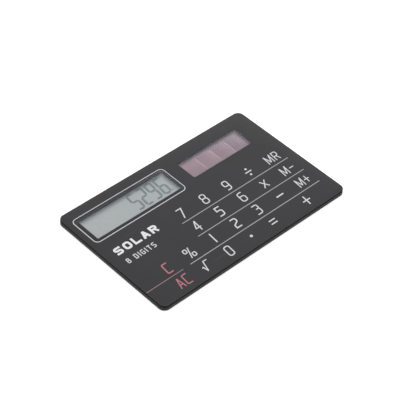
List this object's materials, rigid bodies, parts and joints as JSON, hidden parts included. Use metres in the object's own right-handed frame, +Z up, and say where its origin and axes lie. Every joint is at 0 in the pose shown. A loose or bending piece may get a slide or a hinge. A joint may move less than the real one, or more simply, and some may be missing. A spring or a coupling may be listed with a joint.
{
  "type": "pocket calculator",
  "caption": "Card-size solar pocket calculator: flat rounded slab with a recessed liquid-crystal display, a solar strip and press keys in a printed one-piece face film.",
  "frame": {"origin": "centre of the footprint, on the plane the back rests on", "axes": "+X along the long side to the reader's right, +Y along the short side towards the display, +Z up out of the face"},
  "size_m": [0.0856, 0.054, 0.0022],
  "materials": {
    "case_plastic": "moulded dark grey, fine spark texture, satin",
    "back_sheet": "dark grey sheet, fine even grain",
    "face_print": "charcoal print under a fine matt film, light grey and red legends",
    "adhesive": "double-sided glue sheet",
    "spacer": "translucent polyester sheet, glued both sides",
    "board": "green solder mask over glass laminate",
    "resin": "black potting resin",
    "ceramic": "tan ceramic with tinned ends",
    "reflector": "grained silver film",
    "display_glass": "clear float glass",
    "polariser": "grey-green polarising film",
    "mask": "black printed mask",
    "clear_window": "clear glossy film",
    "tinted_window": "clear film over the cell, pinkish cast",
    "ribbon": "amber heat-bonded ribbon",
    "solar_cell": "amorphous silicon, wine-brown, four cells",
    "ink_white": "light grey screen-printed ink",
    "ink_red": "dull red screen-printed ink",
    "display_segment": "dark liquid-crystal segment",
    "carbon": "printed carbon contact",
    "lead_red": "red wire insulation",
    "lead_black": "black wire insulation"
  },
  "bodies": {
    "case": {"case_frame": "case_plastic", "back_cover": "back_sheet", "back_adhesive": "adhesive", "face_adhesive": "adhesive", "circuit_board": "board", "chip_resin": "resin", "chip_capacitor_1": "ceramic", "chip_capacitor_2": "ceramic", "chip_resistor": "resin", "spacer_sheet": "spacer", "display_reflector": "reflector", "display_rear_glass": "display_glass", "display_front_glass": "display_glass", "display_polariser": "polariser", "display_mask": "mask", "display_window": "clear_window", "display_ribbon": "ribbon", "solar_cell_layer": "solar_cell", "solar_cell_glass": "display_glass", "solar_window": "tinted_window", "solar_lead_positive": "lead_red", "solar_lead_negative": "lead_black", "face_film": "face_print"},
    "key_7": {"key_7": "face_print"},
    "key_8": {"key_8": "face_print"},
    "key_9": {"key_9": "face_print"},
    "key_divide": {"key_divide": "face_print"},
    "key_memory_recall": {"key_memory_recall": "face_print"},
    "key_4": {"key_4": "face_print"},
    "key_5": {"key_5": "face_print"},
    "key_6": {"key_6": "face_print"},
    "key_multiply": {"key_multiply": "face_print"},
    "key_memory_minus": {"key_memory_minus": "face_print"},
    "key_clear": {"key_clear": "face_print"},
    "key_percent": {"key_percent": "face_print"},
    "key_1": {"key_1": "face_print"},
    "key_2": {"key_2": "face_print"},
    "key_3": {"key_3": "face_print"},
    "key_minus": {"key_minus": "face_print"},
    "key_memory_plus": {"key_memory_plus": "face_print"},
    "key_all_clear": {"key_all_clear": "face_print"},
    "key_square_root": {"key_square_root": "face_print"},
    "key_0": {"key_0": "face_print"},
    "key_decimal_point": {"key_decimal_point": "face_print"},
    "key_equals": {"key_equals": "face_print"},
    "key_plus": {"key_plus": "face_print"}
  },
  "joints": [
    {"name": "press_7", "type": "slide", "parent": "case", "child": "key_7", "axis": [0, 0, -1], "range_m": [0, 0.00018], "stiffness_N_per_m": 6000},
    {"name": "press_8", "type": "slide", "parent": "case", "child": "key_8", "axis": [0, 0, -1], "range_m": [0, 0.00018], "stiffness_N_per_m": 6000},
    {"name": "press_9", "type": "slide", "parent": "case", "child": "key_9", "axis": [0, 0, -1], "range_m": [0, 0.00018], "stiffness_N_per_m": 6000},
    {"name": "press_divide", "type": "slide", "parent": "case", "child": "key_divide", "axis": [0, 0, -1], "range_m": [0, 0.00018], "stiffness_N_per_m": 6000},
    {"name": "press_memory_recall", "type": "slide", "parent": "case", "child": "key_memory_recall", "axis": [0, 0, -1], "range_m": [0, 0.00018], "stiffness_N_per_m": 6000},
    {"name": "press_4", "type": "slide", "parent": "case", "child": "key_4", "axis": [0, 0, -1], "range_m": [0, 0.00018], "stiffness_N_per_m": 6000},
    {"name": "press_5", "type": "slide", "parent": "case", "child": "key_5", "axis": [0, 0, -1], "range_m": [0, 0.00018], "stiffness_N_per_m": 6000},
    {"name": "press_6", "type": "slide", "parent": "case", "child": "key_6", "axis": [0, 0, -1], "range_m": [0, 0.00018], "stiffness_N_per_m": 6000},
    {"name": "press_multiply", "type": "slide", "parent": "case", "child": "key_multiply", "axis": [0, 0, -1], "range_m": [0, 0.00018], "stiffness_N_per_m": 6000},
    {"name": "press_memory_minus", "type": "slide", "parent": "case", "child": "key_memory_minus", "axis": [0, 0, -1], "range_m": [0, 0.00018], "stiffness_N_per_m": 6000},
    {"name": "press_clear", "type": "slide", "parent": "case", "child": "key_clear", "axis": [0, 0, -1], "range_m": [0, 0.00018], "stiffness_N_per_m": 6000},
    {"name": "press_percent", "type": "slide", "parent": "case", "child": "key_percent", "axis": [0, 0, -1], "range_m": [0, 0.00018], "stiffness_N_per_m": 6000},
    {"name": "press_1", "type": "slide", "parent": "case", "child": "key_1", "axis": [0, 0, -1], "range_m": [0, 0.00018], "stiffness_N_per_m": 6000},
    {"name": "press_2", "type": "slide", "parent": "case", "child": "key_2", "axis": [0, 0, -1], "range_m": [0, 0.00018], "stiffness_N_per_m": 6000},
    {"name": "press_3", "type": "slide", "parent": "case", "child": "key_3", "axis": [0, 0, -1], "range_m": [0, 0.00018], "stiffness_N_per_m": 6000},
    {"name": "press_minus", "type": "slide", "parent": "case", "child": "key_minus", "axis": [0, 0, -1], "range_m": [0, 0.00018], "stiffness_N_per_m": 6000},
    {"name": "press_memory_plus", "type": "slide", "parent": "case", "child": "key_memory_plus", "axis": [0, 0, -1], "range_m": [0, 0.00018], "stiffness_N_per_m": 6000},
    {"name": "press_all_clear", "type": "slide", "parent": "case", "child": "key_all_clear", "axis": [0, 0, -1], "range_m": [0, 0.00018], "stiffness_N_per_m": 6000},
    {"name": "press_square_root", "type": "slide", "parent": "case", "child": "key_square_root", "axis": [0, 0, -1], "range_m": [0, 0.00018], "stiffness_N_per_m": 6000},
    {"name": "press_0", "type": "slide", "parent": "case", "child": "key_0", "axis": [0, 0, -1], "range_m": [0, 0.00018], "stiffness_N_per_m": 6000},
    {"name": "press_decimal_point", "type": "slide", "parent": "case", "child": "key_decimal_point", "axis": [0, 0, -1], "range_m": [0, 0.00018], "stiffness_N_per_m": 6000},
    {"name": "press_equals", "type": "slide", "parent": "case", "child": "key_equals", "axis": [0, 0, -1], "range_m": [0, 0.00018], "stiffness_N_per_m": 6000},
    {"name": "press_plus", "type": "slide", "parent": "case", "child": "key_plus", "axis": [0, 0, -1], "range_m": [0, 0.00018], "stiffness_N_per_m": 6000}
  ]
}
